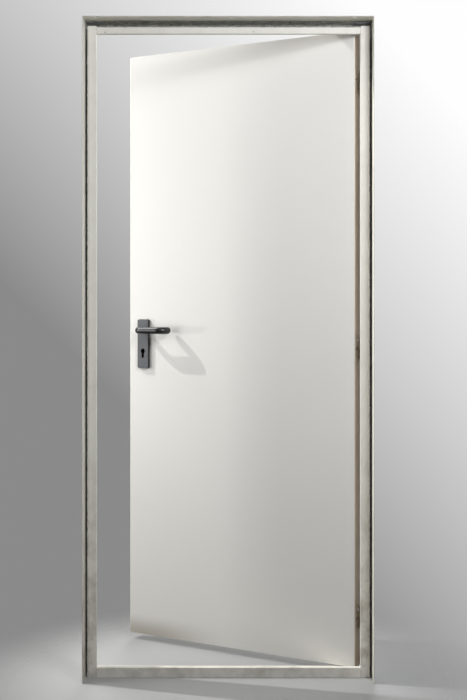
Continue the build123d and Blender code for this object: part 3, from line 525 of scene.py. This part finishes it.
# A dark rim of painted shade at each flap's edge stands for the seam round it.
seam_shade = stretch(tree, edge_lean(tree, 1.5 * MM), 0.995, 0.93)
tint = blend(tree, seam_shade, tint, "#3B352C")
dress(tree, shader, tint, stretch(tree, blotch, 0.0, 1.0, 0.45, 0.65), blotch, 0.3, 0.1 * MM)
print("hinge steel nodes:", len(tree.nodes))


# %% Moulded nylon, rubber and paper
def moulded(name, dark, pale, roughness, grit, depth):
    """A moulded stuff: two close shades, and the relief that its mould left."""
    material, tree, shader, place = finish_named(name)
    shader.inputs["IOR"].default_value = 1.53
    haze = cloudy(tree, place, 45.0, 2.0)
    rough = stretch(tree, haze, 0.0, 1.0, roughness * 0.8, roughness * 1.2)
    grain = cloudy(tree, place, 1 / grit, 3.0)
    dress(tree, shader, blend(tree, haze, dark, pale), rough, grain, 0.4, depth)
    return material


polished_nylon = moulded("polished_nylon", "#050505", "#0A0A0A", 0.2, 6 * MM, 0.01 * MM)
seal_rubber = moulded("extruded_rubber", "#1B1B1C", "#262626", 0.6, 0.7 * MM, 0.05 * MM)
# The core is painted a dark brown, as painted shade for the inside of the leaf.
kraft_paper_in_shade = moulded("kraft_paper_in_shade", "#2E2418", "#3A2D1E", 0.85, 1.5 * MM, 0.1 * MM)
plate_nylon_shaded_sides = moulded("spark_textured_nylon_shaded_sides", "#414347", "#4C4E52", 0.45, 0.9 * MM, 0.08 * MM)
print("moulded:", polished_nylon.name, seal_rubber.name, kraft_paper_in_shade.name, plate_nylon_shaded_sides.name)

# %% Textured face, and sides painted black as shade, on one plate
FACE_WAY = swing.to_3x3() @ Vector((0, 1, 0))     # square to the leaf

tree = plate_nylon_shaded_sides.node_tree
shader = next(node for node in tree.nodes if node.type == "BSDF_PRINCIPLED")
textured = shader.inputs["Base Color"].links[0].from_socket
normal = add(tree, "ShaderNodeTexCoord").outputs["Normal"]
# The sides are painted near black by the way they face, as painted shade; the face keeps its textured grey.
face = stretch(tree, maths(tree, "ABSOLUTE", dot(tree, normal, FACE_WAY)), 0.55, 0.85)
tree.links.new(blend(tree, face, "#060606", textured), shader.inputs["Base Color"])
print("plate nodes:", len(tree.nodes))

# %% Give the measured nodes their finishes
finishes = {
    powder_coat: ["front_skin", "back_skin"],
    primer: ["hinge_jamb", "lock_jamb", "head"],
    sill_primer_painted_paler: ["sill"],
    galvanised: ["corner_brackets", "strike_box", "hinge_backing_plates", "hinge_stile", "lock_stile",
                 "top_channel", "bottom_channel", "lock_case"],
    plated: ["strike_plate", "hinge_pins", "forend", "spindle", "latch_bolt", "dead_bolt", "follower"],
    brass: ["hinge_washers"],
    hinge_steel_in_shade: [f"{place}_hinge_{half}_half" for place in ("lower", "middle", "upper")
                  for half in ("frame", "leaf")],
    plate_nylon_shaded_sides: ["front_backplate", "rear_backplate"],
    kraft_paper_in_shade: ["core"],
}
for material, names in finishes.items():
    for name in names:
        for slot in frame["nodes"][name].material_slots:
            slot.material = material
print("finished nodes:", sum(map(len, finishes.values())))

# %% [markdown]
# ## Levers
# The lever is one thick bar: a neck out of the plate, a tight bend, a grip that swells slightly, and a
# wide bend back towards the leaf that ends in a dome. It could be a curve with a round bevel, but the
# swell and the dome need a radius that changes along the way. So the centre line is walked in short
# steps, each step gets a ring of points, and the rings are joined.

# %% Centre line of a lever
GRIP_OUT = 49 * MM      # centre of the grip in front of the leaf
GRIP_LENGTH = 107 * MM  # spindle to the middle of the returned end
NECK_BEND, END_BEND = 15 * MM, 23 * MM
TIP_OUT = 21 * MM       # centre of the dome in front of the leaf
PLATE_T, SHOULDER_GAP = 10 * MM, 0.2 * MM
JOURNAL_R, BAR_R, SWELL_R = 9 * MM, 11 * MM, 12 * MM
FLATTER = 0.6 * MM      # the bar is a little less deep than high
FOOT_OUT = 0.4 * MM     # the journal's foot inside the plate
SOFTENED = 0.5 * MM     # the shoulder's softened edge
SWELL_RATE = 1.3        # the swell is full well before the tip
LINE_FROM = PLATE_T + 0.3 * MM      # first point, just clear of the plate
ROOT_STEPS, NECK_STEPS, GRIP_STEPS, END_STEPS, DROP_STEPS, DOME_STEPS = 6, 16, 12, 20, 3, 9


def lever_line():
    """Points of the centre line as (along the grip, out of the leaf, heading)."""
    right = math.pi / 2
    neck = GRIP_OUT - NECK_BEND - PLATE_T
    line = [(0.0, LINE_FROM + k * neck / ROOT_STEPS, right) for k in range(ROOT_STEPS)]
    for k in range(NECK_STEPS + 1):
        a = right * k / NECK_STEPS
        line.append((NECK_BEND * (1 - math.cos(a)), GRIP_OUT - NECK_BEND * (1 - math.sin(a)), right - a))
    run = GRIP_LENGTH - NECK_BEND - END_BEND
    line += [(NECK_BEND + run * k / GRIP_STEPS, GRIP_OUT, 0.0) for k in range(1, GRIP_STEPS)]
    for k in range(END_STEPS + 1):
        a = right * k / END_STEPS
        line.append((GRIP_LENGTH - END_BEND * (1 - math.sin(a)),
                     GRIP_OUT - END_BEND * (1 - math.cos(a)), -a))
    drop = GRIP_OUT - END_BEND - TIP_OUT
    line += [(GRIP_LENGTH, GRIP_OUT - END_BEND - drop * k / DROP_STEPS, -right)
             for k in range(1, DROP_STEPS + 1)]
    return line


print("lever line has", len(lever_line()), "points")


# %% Rings and the faces between them
RING = 48
print("points in a ring:", RING)


def ring(mesh, centre, across, up, radius, rise):
    """One closed ring of points round a centre."""
    turns = [2 * math.pi * k / RING for k in range(RING)]
    return [mesh.verts.new(centre + across * radius * math.cos(a) + up * rise * math.sin(a))
            for a in turns]


def join(mesh, before, after):
    """Four-sided faces between two rings."""
    for k in range(RING):
        n = (k + 1) % RING
        mesh.faces.new((before[k], before[n], after[n], after[k]))


# %% Two levers of rings along the line, closed by a dome
def make_lever(name, side, leaf_y):
    """A lever on one side of the leaf; side is -1 in front and 1 behind."""
    mesh = bmesh.new()
    base = Vector((spindle_at.x, leaf_y, spindle_at.z))
    up = Vector((0, 0, 1))
    line = lever_line()
    length = GRIP_LENGTH + GRIP_OUT

    def placed(along, out):
        return base + Vector((along, side * out, 0))

    rings = []
    shoulder = PLATE_T + SHOULDER_GAP
    for radius, out in ((JOURNAL_R, FOOT_OUT), (JOURNAL_R, shoulder), (BAR_R - SOFTENED, shoulder)):
        rings.append(ring(mesh, placed(0, out), Vector((1, 0, 0)), up, radius, radius))
    for along, out, heading in line:
        across = Vector((math.sin(heading), -side * math.cos(heading), 0))
        swell = min(1.0, (along + GRIP_OUT - out) / length * SWELL_RATE)
        radius = BAR_R + (SWELL_R - BAR_R) * swell
        rings.append(ring(mesh, placed(along, out), across, up, radius - FLATTER, radius))
    end_along, end_out, heading = line[-1]
    across = Vector((math.sin(heading), 0, 0))
    for k in range(1, DOME_STEPS):
        a = math.pi / 2 * k / DOME_STEPS
        centre = placed(end_along, end_out - SWELL_R * math.sin(a))
        rings.append(ring(mesh, centre, across, up, (SWELL_R - FLATTER) * math.cos(a),
                          SWELL_R * math.cos(a)))
    for before, after in zip(rings, rings[1:]):
        join(mesh, before, after)
    mesh.faces.new(rings[0])
    mesh.faces.new(rings[-1])
    bmesh.ops.recalc_face_normals(mesh, faces=mesh.faces)
    bmesh.ops.transform(mesh, matrix=swing, verts=mesh.verts)
    made = object_of(name, mesh, polished_nylon)
    for face in made.data.polygons:
        face.use_smooth = True
    return made


for name, side, leaf_y in (("front_grip", -1, LEAF_FRONT), ("rear_grip", 1, LEAF_BACK)):
    grip = make_lever(name, side, leaf_y)
    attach(grip, "handle")
    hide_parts("front_lever" if side < 0 else "rear_lever")
    print(name, "faces:", len(grip.data.polygons))

# %% [markdown]
# ## Screws by Geometry Nodes
# Every countersunk screw is the same shape in a few sizes, so one node tree makes them all. A mesh with
# one point per screw says where they stand and which way they look. The tree puts a turned head with a
# cross recess on each point, facing the way that the point looks. Named inputs hold the sizes.


# %% One countersunk screw
SLOT_WIDTH, RECESS_DEPTH = 0.3, 1.4     # shares of the recess radius and of the head depth
HEAD_SIDES, SHANK_SIDES = 32, 16


def one_screw(tree, given):
    """A head with a cross recess on a shank, sized by the group's own inputs."""
    head = add(tree, "GeometryNodeMeshCone", {"Vertices": HEAD_SIDES, "Radius Top": given["Shank radius"],
                                              "Radius Bottom": given["Head radius"],
                                              "Depth": given["Head depth"]})
    shank = add(tree, "GeometryNodeMeshCylinder", {"Vertices": SHANK_SIDES, "Radius": given["Shank radius"],
                                                   "Depth": given["Shank length"]})
    half = maths(tree, "MULTIPLY", given["Shank length"], 0.5)
    down = add(tree, "ShaderNodeCombineXYZ", {"Z": maths(tree, "ADD", half, given["Head depth"])})
    shank_low = add(tree, "GeometryNodeTransform", {"Geometry": shank.outputs["Mesh"],
                                                    "Translation": down.outputs["Vector"]})
    recess = add(tree, "ShaderNodeCombineXYZ",
                 {"X": given["Recess radius"],
                  "Y": maths(tree, "MULTIPLY", given["Recess radius"], SLOT_WIDTH),
                  "Z": maths(tree, "MULTIPLY", given["Head depth"], RECESS_DEPTH)})
    double = add(tree, "ShaderNodeVectorMath", {0: recess.outputs["Vector"], 1: (2.0, 2.0, 1.0)},
                 operation="MULTIPLY")
    bar = add(tree, "GeometryNodeMeshCube", {"Size": double.outputs["Vector"]})
    cross = add(tree, "GeometryNodeTransform", {"Geometry": bar.outputs["Mesh"],
                                                "Rotation": (0.0, 0.0, math.pi / 2)})
    cut = add(tree, "GeometryNodeMeshBoolean", operation="DIFFERENCE")
    tree.links.new(head.outputs["Mesh"], cut.inputs["Mesh 1"])
    tree.links.new(bar.outputs["Mesh"], cut.inputs["Mesh 2"])
    tree.links.new(cross.outputs["Geometry"], cut.inputs["Mesh 2"])
    whole = add(tree, "GeometryNodeJoinGeometry")
    tree.links.new(cut.outputs["Mesh"], whole.inputs["Geometry"])
    tree.links.new(shank_low.outputs["Geometry"], whole.inputs["Geometry"])
    return whole.outputs["Geometry"]


# %% The screw tree
def screw_tree():
    """Node tree: one countersunk screw on every point, facing the way that the point looks."""
    tree = bpy.data.node_groups.new("countersunk_screws", "GeometryNodeTree")
    face = tree.interface
    face.new_socket("Geometry", in_out="INPUT", socket_type="NodeSocketGeometry")
    for name, value in (("Head radius", 4.6 * MM), ("Head depth", 2.3 * MM), ("Shank radius", 2.5 * MM),
                        ("Shank length", 9 * MM), ("Recess radius", 2.0 * MM)):
        face.new_socket(name, in_out="INPUT", socket_type="NodeSocketFloat").default_value = value
    face.new_socket("Finish", in_out="INPUT", socket_type="NodeSocketMaterial")
    face.new_socket("Geometry", in_out="OUTPUT", socket_type="NodeSocketGeometry")
    given = add(tree, "NodeGroupInput").outputs
    looks = add(tree, "GeometryNodeInputNamedAttribute", {"Name": "looks"}, data_type="FLOAT_VECTOR")
    inward = add(tree, "ShaderNodeVectorMath", {0: looks.outputs["Attribute"], 1: (-1.0, -1.0, -1.0)},
                 operation="MULTIPLY")
    turn = add(tree, "FunctionNodeAlignRotationToVector", {"Vector": inward.outputs["Vector"]}, axis="Z")
    placed = add(tree, "GeometryNodeInstanceOnPoints", {"Points": given["Geometry"],
                                                        "Instance": one_screw(tree, given),
                                                        "Rotation": turn.outputs["Rotation"]})
    real = add(tree, "GeometryNodeRealizeInstances", {"Geometry": placed.outputs["Instances"]})
    coated = add(tree, "GeometryNodeSetMaterial", {"Geometry": real.outputs["Geometry"],
                                                   "Material": given["Finish"]})
    add(tree, "NodeGroupOutput", {"Geometry": coated.outputs["Geometry"]})
    return tree


screws = screw_tree()
print("screw tree nodes:", len(screws.nodes))


# %% Where the screws of a node stand
def islands(node):
    """The separate solids of a node, each as the list of its points."""
    mesh = bmesh.new()
    mesh.from_mesh(frame["nodes"][node].data)
    bmesh.ops.remove_doubles(mesh, verts=mesh.verts, dist=0.01 * MM)
    left, found = set(mesh.verts), []
    while left:
        reach, group = [left.pop()], []
        while reach:
            v = reach.pop()
            group.append(v.co.copy())
            for edge in v.link_edges:
                other = edge.other_vert(v)
                if other in left:
                    left.remove(other)
                    reach.append(other)
        found.append(group)
    mesh.free()
    return found


def screw_stands(node, way):
    """The middle of each solid's outer end, seen along way, and how long one solid is."""
    points, length = [], 0.0
    for group in islands(node):
        depths = [p.dot(way) for p in group]
        lowest, highest = (Vector(map(pick, zip(*group))) for pick in (min, max))
        centre = (lowest + highest) / 2
        points.append(centre + way * (max(depths) - centre.dot(way)))
        length = max(depths) - min(depths)
    return points, length


# %% Screws in place of a node's solids
def make_screws(name, node, looks, body, head_r, head_h, shank_r, turned=False):
    """Screws for one node; looks is the way their heads face, swung with the leaf where turned."""
    way = (swing.to_3x3() if turned else Matrix.Identity(3)) @ Vector(looks)
    points, length = screw_stands(node, way)
    data = bpy.data.meshes.new(name)
    data.from_pydata(points, [], [])
    looks_at = data.attributes.new("looks", "FLOAT_VECTOR", "POINT")
    looks_at.data.foreach_set("vector", list(way) * len(points))
    host = bpy.data.objects.new(name + "_points", data)
    bpy.context.scene.collection.objects.link(host)
    modifier = host.modifiers.new("screws", "NODES")
    sizes = {"Head radius": head_r, "Head depth": head_h, "Recess radius": head_r / 2,
             "Shank radius": shank_r, "Shank length": length - head_h, "Finish": plated}
    sockets = {item.name: item.identifier for item in screws.interface.items_tree
               if item.in_out == "INPUT"}
    modifier.node_group = screws
    for label, value in sizes.items():
        modifier[sockets[label]] = value
    whole = bpy.data.meshes.new_from_object(host.evaluated_get(bpy.context.evaluated_depsgraph_get()))
    bpy.data.objects.remove(host)
    made = bpy.data.objects.new(name, whole)
    bpy.context.scene.collection.objects.link(made)
    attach(made, body)
    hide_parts(node)
    print(name, "screws:", len(points), "faces:", len(whole.polygons))
    return made


# %% Screws on each body
HINGE_SIZE = (4.6 * MM, 2.3 * MM, 2.5 * MM)     # head radius, head depth, shank radius
FOREND_SIZE = (3.8 * MM, 2.0 * MM, 2.0 * MM)
PLATE_SIZE = (4.8 * MM, 2.4 * MM, 2.5 * MM)
make_screws("leaf_hinge_screw_heads", "leaf_hinge_screws", (1, 0, 0), "leaf", *HINGE_SIZE, True)
make_screws("frame_hinge_screw_heads", "frame_hinge_screws", (-1, 0, 0), "frame", *HINGE_SIZE)
make_screws("forend_screw_heads", "forend_screws", (-1, 0, 0), "leaf", *FOREND_SIZE, True)
make_screws("plate_screw_heads", "backplate_bolts", (0, 1, 0), "leaf", *PLATE_SIZE, True)
for name in ("corner_screws", "strike_screws"):
    for slot in frame["nodes"][name].material_slots:
        slot.material = plated

# %% [markdown]
# ## Seal
# The seal is an extruded rubber strip with a hollow, rounded bead that the leaf presses flat. It could be
# a curve with a bevel, but its corners must stay crisp and mitred, so the section is drawn once and
# carried round the four corners, growing square to each side.

# %% Rubber seal round the stop
seal_low, seal_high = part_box("rebate_seal")
SEAL_W = 7 * MM
depth = seal_high.y - seal_low.y
SECTION = [(0.0, 0.0), (0.0, 0.5), (0.12, 0.62), (0.18, 0.8), (0.32, 0.95), (0.5, 1.0), (0.68, 0.95),
           (0.82, 0.8), (0.88, 0.62), (1.0, 0.5), (1.0, 0.0)]    # shares of the width and the depth

mesh = bmesh.new()
loops = []
for across, out in SECTION:
    inset = SEAL_W * (1 - across)
    y = seal_low.y + depth * out
    corners = [(seal_low.x + inset, seal_low.z + inset), (seal_high.x - inset, seal_low.z + inset),
               (seal_high.x - inset, seal_high.z - inset), (seal_low.x + inset, seal_high.z - inset)]
    loops.append([mesh.verts.new((x, y, z)) for x, z in corners])
for before, after in zip(loops, loops[1:] + loops[:1]):
    for k in range(4):
        n = (k + 1) % 4
        mesh.faces.new((before[k], before[n], after[n], after[k]))
bmesh.ops.recalc_face_normals(mesh, faces=mesh.faces)
seal = object_of("seal_strip", mesh, seal_rubber)
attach(seal, "frame")
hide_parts("rebate_seal")
print("seal faces:", len(seal.data.polygons))
